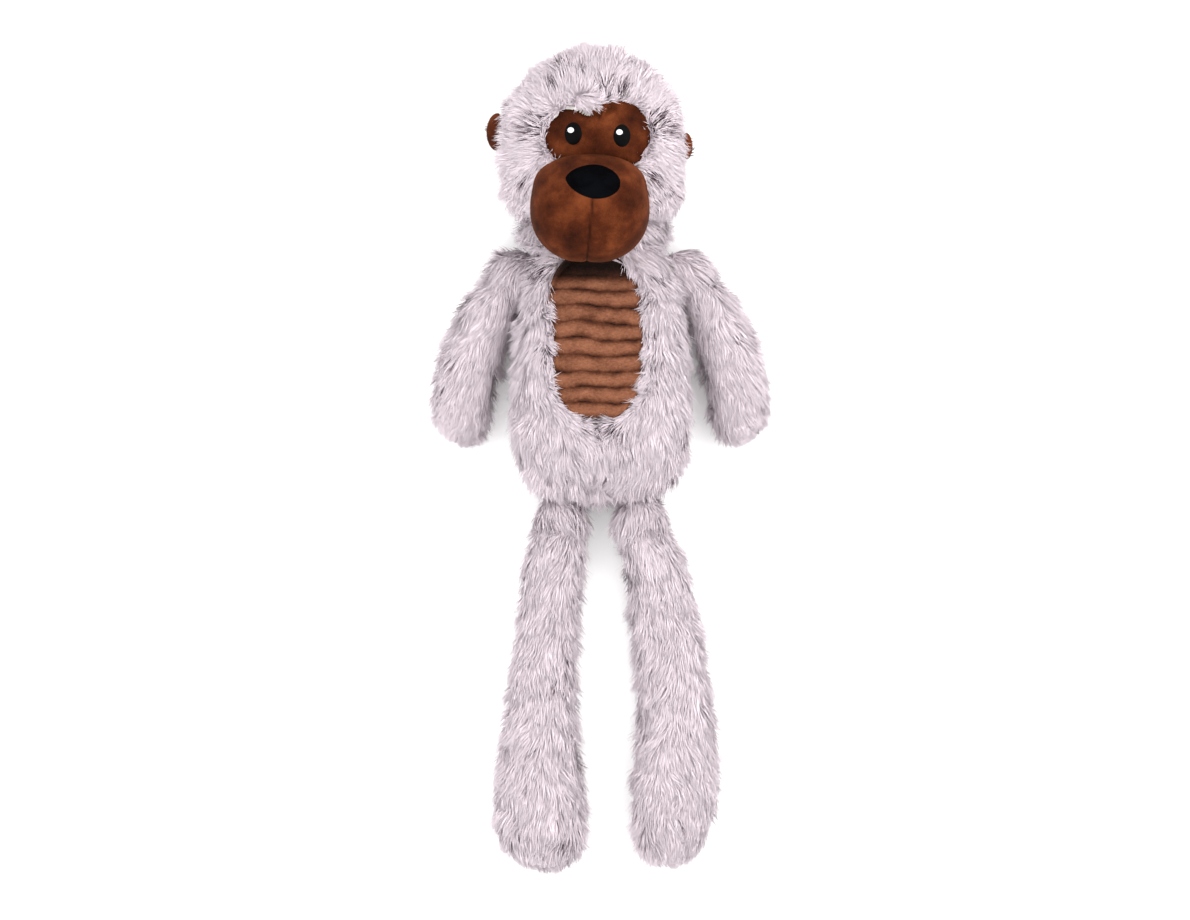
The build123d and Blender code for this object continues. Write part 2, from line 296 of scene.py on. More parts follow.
def math_node(tree, operation, *values):
    return add(tree, "ShaderNodeMath", dict(enumerate(values)), operation=operation).outputs[0]


def remapped(tree, value, low, high, to_low=0.0, to_high=1.0):
    """A value between low and high, brought between to_low and to_high."""
    ends = {"From Min": low, "From Max": high, "To Min": to_low, "To Max": to_high}
    return add(tree, "ShaderNodeMapRange", {"Value": value, **ends}).outputs[0]


def dimmed(tree, colour, value):
    return add(tree, "ShaderNodeHueSaturation", {"Value": value, "Color": colour}).outputs[0]


def finish_shader(tree, shader, colour, bump=None, **values):
    """Links a shader's colour, its bump of (height, strength, distance), and sets its constants."""
    tree.links.new(colour, shader.inputs["Base Color"])
    if bump:
        height, strength, distance = bump
        made = add(tree, "ShaderNodeBump", {"Strength": strength, "Distance": distance, "Height": height})
        tree.links.new(made.outputs[0], shader.inputs["Normal"])
    for name, value in values.items():
        shader.inputs[name.replace("_", " ")].default_value = value


def named(tree, attribute):
    return add(tree, "ShaderNodeAttribute", attribute_name=attribute).outputs["Fac"]


def vector_named(tree, attribute):
    return add(tree, "ShaderNodeAttribute", attribute_name=attribute).outputs["Vector"]


def mixed_colours(tree, factor, first, second, blend="MIX"):
    made = add(tree, "ShaderNodeMix", {0: factor, 6: first, 7: second}, data_type="RGBA", blend_type=blend)
    return made.outputs[2]


def pile_material():
    """Frosted long-pile polyester plush: pale pink-white, with dark roots where the pile parts."""
    material, tree, shader = new_material("frosted long-pile plush")
    strand = vector_named(tree, "fibre")
    along = add(tree, "ShaderNodeSeparateXYZ", {0: strand}).outputs["Z"]
    tint = named(tree, "tint")
    # painted light: the plain pile is a little lighter at its roots and middle than at its tips, to lift the shade
    # deep in the pile
    plain = ramp(tree, along, [(0.0, "#EFE0E7"), (0.5, "#F3E4EB"), (1.0, "#EBDEE5")])
    parted = ramp(tree, along, [(0.0, "#1E1016"), (0.55, "#3C2730"), (0.8, "#8E7782"), (1.0, "#D9CAD2")])
    # the more the pile parts, the more of its strands show their dark length
    spare = math_node(tree, "SUBTRACT", math_node(tree, "MULTIPLY", named(tree, "parting"), 0.75), tint)
    dark = remapped(tree, spare, 0.0, 0.08)
    shade = mixed_colours(tree, dark, plain, parted)
    # each strand is a lock of fibres, so finer streaks run along it
    finer = (4.5, 4.5, 0.7)
    spread = add(tree, "ShaderNodeVectorMath", {0: strand, 1: finer}, operation="MULTIPLY").outputs[0]
    apart = math_node(tree, "MULTIPLY", tint, 57.0)
    fibres = add(
        tree,
        "ShaderNodeTexNoise",
        {"Vector": spread, "W": apart, "Scale": 1.0, "Detail": 2.0},
        noise_dimensions="4D",
    ).outputs["Fac"]
    streak = remapped(tree, fibres, 0.3, 0.7, 0.94, 1.03)
    bright = remapped(tree, tint, 0.0, 1.0, 0.97, 1.02)
    varied = dimmed(tree, shade, math_node(tree, "MULTIPLY", bright, streak))
    # soft fibres scatter the light, so a strand is lit mostly as the surface that it grows on
    ground = add(
        tree,
        "ShaderNodeVectorTransform",
        {0: vector_named(tree, "ground")},
        vector_type="NORMAL",
        convert_from="OBJECT",
        convert_to="WORLD",
    ).outputs[0]
    own = add(tree, "ShaderNodeNewGeometry").outputs["Normal"]
    lit = add(tree, "ShaderNodeMix", {0: 0.7, 4: own, 5: ground}, data_type="VECTOR").outputs[1]
    lit = add(tree, "ShaderNodeVectorMath", {0: lit}, operation="NORMALIZE").outputs[0]
    tree.links.new(lit, shader.inputs["Normal"])
    finish_shader(
        tree, shader, varied, Roughness=0.85, Specular_IOR_Level=0.12, Sheen_Weight=0.15, Sheen_Roughness=0.5
    )
    return material


def backing_material():
    """Knitted polyester backing of the pile: fine loops, dark only where the pile parts."""
    material, tree, shader = new_material("knitted backing")
    loops = add(
        tree,
        "ShaderNodeTexVoronoi",
        {"Vector": add(tree, "ShaderNodeTexCoord").outputs[PATTERN_ORIGIN], "Scale": 1 / (1.2 * MM)},
    ).outputs["Distance"]
    pale = ramp(tree, loops, [(0.0, "#E2D2DA"), (0.7, "#C6B4BE")])
    dark = ramp(tree, loops, [(0.0, "#5A4750"), (0.7, "#2E2029")])
    colour = mixed_colours(tree, named(tree, "parting"), pale, dark)
    finish_shader(tree, shader, colour, (loops, 0.5, 0.3 * MM), Roughness=0.9)
    return material


def velour_material(name, dark, middle, light, sheen=0.06, gloss=0.06):
    """Short-pile polyester velour: broad brushed patches under a fine nap."""
    material, tree, shader = new_material(name)
    patches = object_noise(tree, 24 * MM, 3.0, roughness=0.55)
    strokes = object_noise(tree, 7 * MM, 3.0, roughness=0.55)
    nap = object_noise(tree, 0.7 * MM, 2.0)
    level = math_node(tree, "MULTIPLY_ADD", strokes, 0.35, patches)
    level = math_node(tree, "MULTIPLY_ADD", nap, 0.22, level)
    colour = ramp(tree, remapped(tree, level, 0.56, 1.04), [(0.0, dark), (0.42, middle), (1.0, light)])
    stitched = mixed_colours(tree, named(tree, "seam"), colour, linear("#120502"))
    finish_shader(
        tree,
        shader,
        stitched,
        (nap, 0.4, 0.4 * MM),
        Roughness=0.88,
        Specular_IOR_Level=gloss,
        Sheen_Weight=sheen,
        Sheen_Roughness=0.4,
        Sheen_Tint=linear("#C98A5E"),
    )
    return material


def ribbed_material():
    """Wide-rib pile fabric: looped fleece on the ribs, with painted shade in the channels between them and a
    painted shadow under the chin.
    """
    material, tree, shader = new_material("wide-rib fleece")
    # rib is how high a point stands on its rib, with a painted shadow under the chin folded in
    height = named(tree, "rib")
    fleece = object_noise(tree, 1.3 * MM, 4.0, stretch=(0.6, 1, 1), roughness=0.75)
    blotch = object_noise(tree, 12 * MM, 2.0)
    level = math_node(tree, "MULTIPLY_ADD", fleece, 0.75, height)
    level = math_node(tree, "MULTIPLY_ADD", blotch, 0.5, level)
    spread = remapped(tree, level, 0.55, 1.75)
    # the ramp paints shade: near black in the channels and under the chin, lighter on the rib crests
    colour = ramp(tree, spread, [(0.0, "#0C0402"), (0.35, "#28120A"), (0.66, "#522D1D"), (1.0, "#875740")])
    finish_shader(
        tree,
        shader,
        colour,
        (fleece, 0.8, 0.7 * MM),
        Roughness=0.9,
        Specular_IOR_Level=0.12,
        Sheen_Weight=0.1,
        Sheen_Tint=linear("#D6A283"),
    )
    return material


def thread_material(name, colour, roughness):
    """Satin-stitch embroidery thread: smooth twisted polyester with a slight shine."""
    material, tree, shader = new_material(name)
    level = remapped(tree, object_noise(tree, 0.5 * MM, 2.0), 0.0, 1.0, 0.7, 1.2)
    varied = dimmed(tree, linear(colour), level)
    finish_shader(tree, shader, varied, Roughness=roughness, Specular_IOR_Level=0.05)
    return material


def fibre_material():
    """Loose polyester filling: matt white fibre."""
    material, tree, shader = new_material("polyester fibre filling")
    fibres = object_noise(tree, 2.0 * MM, 6.0, stretch=(1, 3, 1))
    colour = ramp(tree, fibres, [(0.3, "#D8D5CE"), (0.7, "#F7F5F0")])
    finish_shader(tree, shader, colour, (fibres, 0.6, 1.0 * MM), Roughness=0.95)
    return material


def moulded_material(name, colour, roughness):
    """Blown or moulded polyethylene: smooth, slightly waxy."""
    material, tree, shader = new_material(name)
    level = remapped(tree, object_noise(tree, 6 * MM, 2.0), 0.0, 1.0, 0.92, 1.04)
    finish_shader(tree, shader, dimmed(tree, linear(colour), level), Roughness=roughness)
    return material


materials = {
    "long_pile": pile_material(),
    "backing_fabric": backing_material(),
    "short_pile": velour_material("brown short-pile velour", "#260D05", "#431C0B", "#6A351B"),
    "ribbed_pile": ribbed_material(),
    "nose_fabric": velour_material("black fleece", "#010101", "#030304", "#08090C", sheen=0.0, gloss=0.01),
    "embroidery_black": thread_material("black satin stitch", "#030304", 0.55),
    "embroidery_white": thread_material("white satin stitch", "#F4F4F4", 0.5),
    "fibre_filling": fibre_material(),
    "sewing_thread": thread_material("pale sewing thread", "#CFC4CA", 0.6),
    "squeaker_bulb": moulded_material("blown polyethylene", "#E9E6DC", 0.4),
    "squeaker_reed": moulded_material("moulded polyethylene", "#F4F4F0", 0.3),
}

# ---------------------------------------------------------------- stuffed skins

# how far a skin is inside the outside of its CAD cover, so that the pile has room
TORSO_INSET = 2.0 * MM
HEAD_INSET = 1.2 * MM
LIMB_INSETS = {"arm": 0.9 * MM, "leg": -0.3 * MM}
LIMB_STARTS = {"arm": 8.0 * MM, "leg": 9.5 * MM}  # from the middle of the gusset
LOWEST_SKIN = FLOOR + 1.5 * MM
PROBE = 0.2

# the height of the seam round each form
TORSO_SEAM = 28 * MM
HEAD_SEAM = 38 * MM
LIMB_SEAMS = {"arm": 12.5 * MM, "leg": 16.5 * MM}


def wrapped(name, nodes, start, end, rings, segments, inset):
    """A closed skin just inside the outer surface of CAD nodes, in rings along the line start-end."""
    tree = cad_tree(*nodes)
    along = (end - start).normalized()
    length = (end - start).length
    across = along.cross(UP).normalized()
    points, last = [], None
    for i in range(rings):
        share = 0.5 - 0.5 * math.cos(math.pi * i / (rings - 1))
        share = 0.65 * i / (rings - 1) + 0.35 * share
        middle = start + along * (length * share)
        for _ in range(2):
            ring = []
            for j in range(segments):
                angle = 2 * math.pi * j / segments
                way = across * math.cos(angle) + UP * math.sin(angle)
                place, normal, _, _ = tree.ray_cast(middle + way * PROBE, -way, PROBE)
                if place is None:
                    place, normal = (last[j], way) if last else (middle + way * 2 * MM, way)
                ring.append(place - normal.normalized() * inset)
            flat = [p - along * p.dot(along) for p in ring]
            centre = sum(flat, Vector()) / segments
            middle = centre + along * middle.dot(along)
        points.append(ring)
        last = ring
    vertices = [p for ring in points for p in ring]
    faces = tube_faces(rings, segments)
    for i, outwards in ((0, -1), (rings - 1, 1)):
        ring = points[i]
        centre = sum(ring, Vector()) / segments
        width = min((p - centre).length for p in ring)
        half = [centre + (p - centre) * 0.5 + along * (outwards * width * 0.22) for p in ring]
        first = len(vertices)
        vertices += half + [centre + along * (outwards * width * 0.28)]
        for j in range(segments):
            k = (j + 1) % segments
            faces.append((i * segments + j, i * segments + k, first + k, first + j))
            faces.append((first + j, first + k, first + segments))
    return facing_out(mesh_object(name, vertices, faces))


def rounded(name, centre, radii, power=2.0, rings=28, segments=44):
    """A closed superellipsoid, with its poles at the ends along Y."""
    vertices = []

    def shaped(value):
        return math.copysign(abs(value) ** (2 / power), value)

    for i in range(1, rings):
        tilt = math.pi * i / rings
        for j in range(segments):
            turn = 2 * math.pi * j / segments
            vertices.append(
                Vector(
                    (
                        centre[0] + radii[0] * shaped(math.sin(tilt)) * shaped(math.cos(turn)),
                        centre[1] + radii[1] * shaped(math.cos(tilt)),
                        centre[2] + radii[2] * shaped(math.sin(tilt)) * shaped(math.sin(turn)),
                    )
                )
            )
    faces = tube_faces(rings - 1, segments)
    for i, sign in ((0, 1), (rings - 2, -1)):
        pole = len(vertices)
        vertices.append(Vector((centre[0], centre[1] + sign * radii[1], centre[2])))
        for j in range(segments):
            faces.append((i * segments + j, i * segments + (j + 1) % segments, pole))
    return facing_out(mesh_object(name, vertices, faces))


def stuff(skins, frames=16):
    """Blows the skins up by cloth simulation. Each is (piece, pressure, most that a point may move, seam)."""
    start = {}
    for piece, pressure, _, seam in skins:
        start[piece.name] = coordinates(piece.data)
        cloth = piece.modifiers.new("Stuffing", "CLOTH")
        cloth.settings.use_pressure = True
        cloth.settings.uniform_pressure_force = pressure
        cloth.settings.effector_weights.gravity = 0
        cloth.settings.quality = 4
        cloth.settings.mass = 0.2
        cloth.settings.tension_stiffness = 12
        cloth.settings.compression_stiffness = 12
        cloth.settings.bending_stiffness = 0.3
        cloth.point_cache.frame_start = 1
        cloth.point_cache.frame_end = frames
        if seam is not None:
            group = piece.vertex_groups.new(name="seam")
            for index in np.nonzero(seam > 0.01)[0]:
                group.add([int(index)], float(seam[index]), "REPLACE")
            cloth.settings.vertex_group_mass = "seam"
            cloth.settings.pin_stiffness = 1.0
    for step in range(1, frames + 1):
        bpy.context.scene.frame_set(step)
    for piece, _, reach, _ in skins:
        settled(piece)
        piece.vertex_groups.clear()
        moved = coordinates(piece.data) - start[piece.name]
        length = np.linalg.norm(moved, axis=1, keepdims=True)
        limit = np.minimum(length, reach) / np.maximum(length, 1e-9)
        result = start[piece.name] + moved * limit
        result[:, 2] = np.maximum(result[:, 2], LOWEST_SKIN)
        move_points(piece, result)
    bpy.context.scene.frame_set(1)


# ---------------------------------------------------------------- the pile

TUFT_SIZE = 6.5 * MM
STRAND_WIDTH = 0.7 * MM  # a lock of fibres, the finest that shows
FRONT_DENSITY = 2200000.0  # strands per square metre
BACK_DENSITY = 600000.0
MOST_STRANDS = 19000  # in one piece: a strand has ten triangles
GATHERS_DENSITY = 1000000.0
MOST_ON_LIMB = {"front": 14000, "back": 6000}
PILE_LENGTH = 13 * MM
EAR_PILE_LENGTH = 7 * MM
PARTED = {"torso": 0.22, "head": 0.2, "limb": 0.18, "gathers": 0.35, "ear": 0.0}  # how much of the pile parts
FULL_TURN = 6.2832


def interface(tree, name, kind, default=None):
    socket = tree.interface.new_socket(name, in_out="INPUT", socket_type=kind)
    if default is not None:
        socket.default_value = default
    return socket


def pile_tree():
    """Geometry Nodes: strands scattered on a skin, leaning along its comb and gathered into tufts."""
    tree = bpy.data.node_groups.new("long pile", "GeometryNodeTree")
    interface(tree, "Skin", "NodeSocketGeometry")
    interface(tree, "Strands per m2", "NodeSocketFloat", 900000.0)
    interface(tree, "Strand Length", "NodeSocketFloat", 15 * MM)
    interface(tree, "Strand Width", "NodeSocketFloat", 1.1 * MM)
    interface(tree, "Tuft Size", "NodeSocketFloat", TUFT_SIZE)
    interface(tree, "Tufting", "NodeSocketFloat", 0.5)
    interface(tree, "Lift", "NodeSocketFloat", 0.5)
    interface(tree, "Seed", "NodeSocketInt", 1)
    interface(tree, "Material", "NodeSocketMaterial")
    tree.interface.new_socket("Pile", in_out="OUTPUT", socket_type="NodeSocketGeometry")
    given = add(tree, "NodeGroupInput").outputs

    def maths(operation, *values):
        return math_node(tree, operation, *values)

    def vectors(operation, *values):
        made = add(tree, "ShaderNodeVectorMath", operation=operation)
        for key, value in enumerate(values):
            if operation == "SCALE" and key == 1:
                key = "Scale"
            if isinstance(value, bpy.types.NodeSocket):
                tree.links.new(value, made.inputs[key])
            else:
                made.inputs[key].default_value = value
        return made.outputs[0]

    def stored(name, kind):
        return add(tree, "GeometryNodeInputNamedAttribute", {"Name": name}, data_type=kind).outputs[0]

    def store(geometry, name, value, kind):
        return add(
            tree,
            "GeometryNodeStoreNamedAttribute",
            {"Geometry": geometry, "Name": name, "Value": value},
            data_type=kind,
            domain="POINT",
        ).outputs[0]

    def chance(low, high, seed):
        made = add(tree, "FunctionNodeRandomValue", data_type="FLOAT")
        floats = [s for s in made.inputs if s.type == "VALUE"]
        floats[0].default_value, floats[1].default_value = low, high
        tree.links.new(maths("ADD", given["Seed"], seed), made.inputs["Seed"])
        return [s for s in made.outputs if s.type == "VALUE"][0]

    # roots of the strands, where the skin's cover attribute lets them grow
    density = maths("MULTIPLY", given["Strands per m2"], stored("cover", "FLOAT"))
    roots = add(
        tree,
        "GeometryNodeDistributePointsOnFaces",
        {"Mesh": given["Skin"], "Density": density, "Seed": given["Seed"]},
        distribute_method="RANDOM",
    )
    # centres of the tufts
    tufts = add(
        tree,
        "GeometryNodeDistributePointsOnFaces",
        {
            "Mesh": given["Skin"],
            "Density": maths("DIVIDE", 1.0, maths("MULTIPLY", given["Tuft Size"], given["Tuft Size"])),
            "Seed": maths("ADD", given["Seed"], 7.0),
        },
        distribute_method="RANDOM",
    )
    place = add(tree, "GeometryNodeInputPosition").outputs[0]
    centres = tufts.outputs["Points"]
    nearest = add(tree, "GeometryNodeSampleNearest", {"Geometry": centres, "Sample Position": place})
    tuft_place = add(
        tree,
        "GeometryNodeSampleIndex",
        {"Geometry": centres, "Index": nearest.outputs[0]},
        data_type="FLOAT_VECTOR",
    )
    tree.links.new(place, tuft_place.inputs["Value"])
    tuft_random = add(tree, "FunctionNodeRandomValue", data_type="FLOAT_VECTOR")
    tuft_random.inputs["Min"].default_value = (-1, -1, -1)
    tuft_random.inputs["Max"].default_value = (1, 1, 1)
    tree.links.new(nearest.outputs[0], tuft_random.inputs["ID"])
    tree.links.new(given["Seed"], tuft_random.inputs["Seed"])

    comb = stored("comb", "FLOAT_VECTOR")
    share = maths("MULTIPLY", stored("pile", "FLOAT"), chance(0.72, 1.12, 11))
    length = maths("MULTIPLY", given["Strand Length"], share)
    wild = add(tree, "FunctionNodeRandomValue", data_type="FLOAT_VECTOR")
    wild.inputs["Min"].default_value = (-1, -1, -1)
    wild.inputs["Max"].default_value = (1, 1, 1)
    tree.links.new(maths("ADD", given["Seed"], 23.0), wild.inputs["Seed"])
    lean = vectors("ADD", comb, vectors("SCALE", tuft_random.outputs[0], 0.3))
    lean = vectors("ADD", lean, vectors("SCALE", wild.outputs[0], 0.2))
    lifted = vectors("ADD", vectors("SCALE", roots.outputs["Normal"], given["Lift"]), lean)
    growth = vectors("NORMALIZE", lifted)
    parting = maths("ADD", 0.75, maths("MULTIPLY", 0.9, stored("parting", "FLOAT")))
    to_tuft = vectors("SUBTRACT", tuft_place.outputs[0], place)
    gather = vectors("SCALE", to_tuft, maths("MULTIPLY", given["Tufting"], parting))
    sag = vectors("SCALE", roots.outputs["Normal"], maths("MULTIPLY", length, -0.17))
    drift = vectors("SCALE", lean, maths("MULTIPLY", length, 0.12))
    bend = vectors("ADD", vectors("ADD", gather, sag), drift)

    points = store(roots.outputs["Points"], "bend", bend, "FLOAT_VECTOR")
    points = store(points, "tint", chance(0.0, 1.0, 31), "FLOAT")
    points = store(points, "ground", roots.outputs["Normal"], "FLOAT_VECTOR")

    # one strand: a three-sided taper one unit long
    cone = add(
        tree,
        "GeometryNodeMeshCone",
        {
            "Vertices": 3,
            "Side Segments": 2,
            "Fill Segments": 1,
            "Radius Top": 0.0,
            "Radius Bottom": 0.5,
            "Depth": 1.0,
        },
        fill_type="NGON",
    )
    height = add(tree, "ShaderNodeSeparateXYZ", {0: place}).outputs["Z"]
    strand = store(cone.outputs["Mesh"], "fibre", place, "FLOAT_VECTOR")
    bulge = maths("MULTIPLY", height, maths("SUBTRACT", 1.0, height))
    fuller = maths("ADD", 1.0, maths("MULTIPLY", 1.4, bulge))
    wider = add(tree, "ShaderNodeCombineXYZ", {0: fuller, 1: fuller, 2: 1.0}).outputs[0]
    strand = add(
        tree,
        "GeometryNodeSetPosition",
        {"Geometry": strand, "Position": vectors("MULTIPLY", place, wider)},
    ).outputs[0]

    turned = add(tree, "FunctionNodeAlignRotationToVector", {"Vector": growth}, axis="Z")
    angle = chance(0.0, FULL_TURN, 41)
    turn = add(tree, "FunctionNodeAxisAngleToRotation", {"Axis": (0, 0, 1), "Angle": angle}).outputs[0]
    spun = add(
        tree,
        "FunctionNodeRotateRotation",
        {"Rotation": turned.outputs[0], "Rotate By": turn},
        rotation_space="LOCAL",
    )
    width = maths("MULTIPLY", given["Strand Width"], chance(0.7, 1.2, 51))
    planted = add(
        tree,
        "GeometryNodeInstanceOnPoints",
        {
            "Points": points,
            "Instance": strand,
            "Rotation": spun.outputs[0],
            "Scale": add(tree, "ShaderNodeCombineXYZ", {0: width, 1: width, 2: length}).outputs[0],
        },
    ).outputs[0]
    real = add(tree, "GeometryNodeRealizeInstances", {"Geometry": planted}).outputs[0]
    along = add(tree, "ShaderNodeSeparateXYZ", {0: stored("fibre", "FLOAT_VECTOR")}).outputs["Z"]
    offset = vectors("SCALE", stored("bend", "FLOAT_VECTOR"), maths("MULTIPLY", along, along))
    curved = add(tree, "GeometryNodeSetPosition", {"Geometry": real, "Offset": offset}).outputs[0]
    # strands under the toy are pressed flat on the surface it lies on
    low = add(tree, "ShaderNodeSeparateXYZ", {0: place})
    rest = maths("ADD", FLOOR + 0.25 * MM, maths("MULTIPLY", stored("tint", "FLOAT"), 0.9 * MM))
    height = maths("MAXIMUM", low.outputs["Z"], rest)
    above = add(tree, "ShaderNodeCombineXYZ", {0: low.outputs["X"], 1: low.outputs["Y"], 2: height})
    place_above = {"Geometry": curved, "Position": above.outputs[0]}
    flattened = add(tree, "GeometryNodeSetPosition", place_above).outputs[0]
    for name in ("bend", "comb", "cover", "pile"):
        flattened = add(tree, "GeometryNodeRemoveAttribute", {"Geometry": flattened, "Name": name}).outputs[0]
    smooth = add(tree, "GeometryNodeSetShadeSmooth", {"Geometry": flattened}).outputs[0]
    coated = add(tree, "GeometryNodeSetMaterial", {"Geometry": smooth, "Material": given["Material"]})
    tree.links.new(coated.outputs[0], add(tree, "NodeGroupOutput").inputs["Pile"])
    return tree


PILE = pile_tree()


def put_attribute(mesh, name, values, kind="FLOAT"):
    layer = mesh.attributes.new(name, kind, "POINT")
    layer.data.foreach_set("vector" if kind == "FLOAT_VECTOR" else "value", np.asarray(values, float).ravel())


def combed(skin, comb, pile, seed, parted, sway=0.55, strength=None, spots=()):
    """Stores how the pile of a skin lies: comb is made to follow the surface, and sways a little over it.

    The roots show where the pile parts: in scattered patches, and at spots of (x, y, radius) on the front.
    """
    mesh = skin.data
    place, out = coordinates(mesh), normals(mesh)
    comb = unit(comb) + wandering(place, 13 * MM, seed, sway) + wandering(place, 36 * MM, seed + 5, sway)
    comb -= out * np.sum(comb * out, axis=1, keepdims=True)
    standing = 1 + 0.55 * smoothstep(0.75, 0.2, np.abs(out[:, 2]))  # the pile stands out further at the sides
    comb = unit(comb) * ((1.0 if strength is None else strength) / standing)[:, None]
    put_attribute(mesh, "comb", comb, "FLOAT_VECTOR")
    put_attribute(mesh, "pile", pile)
    patches = wandering(place, 11 * MM, seed + 9)[:, 0] * 0.6 + wandering(place, 30 * MM, seed + 12)[:, 1]
    parting = parted * smoothstep(0.32, 0.6, patches)
    for x, y, radius in spots:
        distance = np.hypot(place[:, 0] - x * MM, place[:, 1] - y * MM) / (radius * MM)
        parting = np.maximum(parting, np.exp(-(distance**2)) * (out[:, 2] > 0.1))
    put_attribute(mesh, "parting", np.clip(parting, 0, 1))


def ground_of(skin, levels=2):
    """A finer, slightly uneven copy of a skin, for the pile to grow on."""
    ground = bpy.data.objects.new(f"{skin.name}_ground", skin.data.copy())
    bpy.context.scene.collection.objects.link(ground)
    subdivided(ground, levels)
    points = coordinates(ground.data)
    uneven = 1.1 * MM * wandering(points, 8 * MM, 17)[:, :1]
    uneven = uneven + 1.2 * MM * wandering(points, 19 * MM, 23)[:, :1]
    points += normals(ground.data) * np.maximum(uneven * 2, 0)
    move_points(ground, points)
    return ground


def covered_area(mesh, cover):
    """The area of a mesh that is covered, in square metres."""
    return sum(face.area * float(np.mean(cover[list(face.vertices)])) for face in mesh.polygons)


def grow(
    name,
    skin,
    body,
    replaced,
    cover,
    seed,
    length=PILE_LENGTH,
    density=FRONT_DENSITY,
    tufting=0.38,
    lift=0.37,
    most=MOST_STRANDS,
):
    """A pile on the part of a skin where cover is above zero, as one plain mesh that rides on a body."""
    covered = covered_area(skin.data, cover)
    source = bpy.data.objects.new(name, skin.data.copy())
    bpy.context.scene.collection.objects.link(source)
    put_attribute(source.data, "cover", cover)
    growing = source.modifiers.new("Pile", "NODES")
    growing.node_group = PILE
    values = {
        "Strands per m2": min(density, most / max(covered, 1e-6)),
        "Strand Length": length,
        "Strand Width": STRAND_WIDTH,
        "Tufting": tufting,
        "Lift": lift,
        "Seed": seed,
        "Material": materials["long_pile"],
    }
    for item in PILE.interface.items_tree:
        if item.name in values:
            growing[item.identifier] = values[item.name]
    piece = settled(source)
    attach(piece, body)
    if replaced:
        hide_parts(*replaced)
    return piece


def finish(piece, body, slot, replaced=()):
    """Gives a piece its material and its body, and hides the CAD nodes that it stands for."""
    piece.data.materials.clear()
    piece.data.materials.append(materials[slot])
    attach(piece, body)
    if replaced:
        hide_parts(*replaced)
    return piece


def middle_of(*nodes):
    """The middle of the box round CAD nodes, and its low and high corners."""
    low = np.min([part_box(n)[0] for n in nodes], axis=0)
    high = np.max([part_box(n)[1] for n in nodes], axis=0)
    return (low + high) / 2, low, high


# ---------------------------------------------------------------- the forms

build_stage()

torso_nodes = ["torso_fur_front", "torso_fur_back_left", "torso_fur_back_right"]
_, torso_low, torso_high = middle_of(*torso_nodes, "belly_panel")
torso_skin = wrapped(
    "torso_skin",
    torso_nodes,
    Vector((0, torso_low[1] + 1 * MM, 22 * MM)),
    Vector((0, torso_high[1] - 1 * MM, 24 * MM)),
    46,
    72,
    TORSO_INSET,
)

head_nodes = ["head_fur_left", "head_fur_right", "head_fur_back"]
head_mid, head_low, head_high = middle_of(*head_nodes)
head_skin = wrapped(
    "head_skin",
    head_nodes,
    Vector((head_mid[0], head_low[1] + 1 * MM, 30 * MM)),
    Vector((head_mid[0], head_high[1] - 1 * MM, 37 * MM)),
    40,
    72,
    HEAD_INSET,
)

limb_skins = {}
for side in SIDES:
    for limb, rings, segments in (("arm", 34, 32), ("leg", 60, 36)):
        nodes = [f"{limb}_{side}_fur_front", f"{limb}_{side}_fur_back"]
        pivot = Vector(joint_place(f"{limb}_{side}"))
        _, low, _ = middle_of(*nodes)
        ends = [v.co for n in nodes for v in frame["nodes"][n].data.vertices if v.co.y < low[1] + 4 * MM]
        tip = Vector((sum(v.x for v in ends) / len(ends), low[1] + 1 * MM, pivot.z))
        way = (tip - pivot).normalized()
        start = pivot + way * LIMB_STARTS[limb]
        skin = wrapped(f"{limb}_{side}_skin", nodes, start, tip, rings, segments, LIMB_INSETS[limb])
        limb_skins[f"{limb}_{side}"] = skin

muzzle_mid, muzzle_low, muzzle_high = middle_of("muzzle_panel_left", "muzzle_panel_right")
muzzle_centre = Vector((muzzle_mid[0], 98 * MM, 75 * MM))
muzzle_radii = (
    (muzzle_high[0] - muzzle_low[0]) / 2,
    muzzle_centre.y - muzzle_low[1],
    muzzle_high[2] - muzzle_centre.z,
)
muzzle_skin = rounded("muzzle_skin", muzzle_centre, muzzle_radii, power=2.2, rings=60, segments=100)


def seam_at(distance, width):
    """How strongly each vertex is held by a seam, from its distance to the seam."""
    return 1 - smoothstep(width * 0.35, width, np.abs(distance))


def beside_muzzle_seam(points):
    """How far a point is from the muzzle's seam, which runs from the nose down under the chin."""
    return points[:, 0] - (-4.8 * MM - (103 * MM - points[:, 1]) * 0.097)


def muzzle_seam(points, width):
    """How close a point is to the muzzle's seam, from 0 to 1."""
    below_nose = 1 - smoothstep(103 * MM, 108 * MM, points[:, 1])
    front = smoothstep(muzzle_centre.z - 30 * MM, muzzle_centre.z - 20 * MM, points[:, 2])
    return np.exp(-((beside_muzzle_seam(points) / width) ** 2)) * below_nose * front


def shape_muzzle():
    """Flattens the muzzle's top edge towards the face, and draws its front in along the seam."""
    mesh = muzzle_skin.data
    points, out = coordinates(mesh), normals(mesh)
    top = smoothstep(106 * MM, 126 * MM, points[:, 1])
    points[:, 0] += 0.12 * top * (points[:, 0] - muzzle_centre.x)
    flat = 0.12 * smoothstep(108 * MM, 131 * MM, points[:, 1])
    high = np.maximum(points[:, 2] - 72 * MM, 0)
    points[:, 2] -= high * flat
    chin = 1 - smoothstep(72 * MM, 98 * MM, points[:, 1])
    depth = 0.7 * MM * muzzle_seam(points, 1.1 * MM) + (0.4 + 0.6 * chin) * MM * muzzle_seam(points, 7 * MM)
    points -= out * depth[:, None]
    move_points(muzzle_skin, points)
    put_attribute(mesh, "seam", 0.75 * muzzle_seam(points, 0.65 * MM))


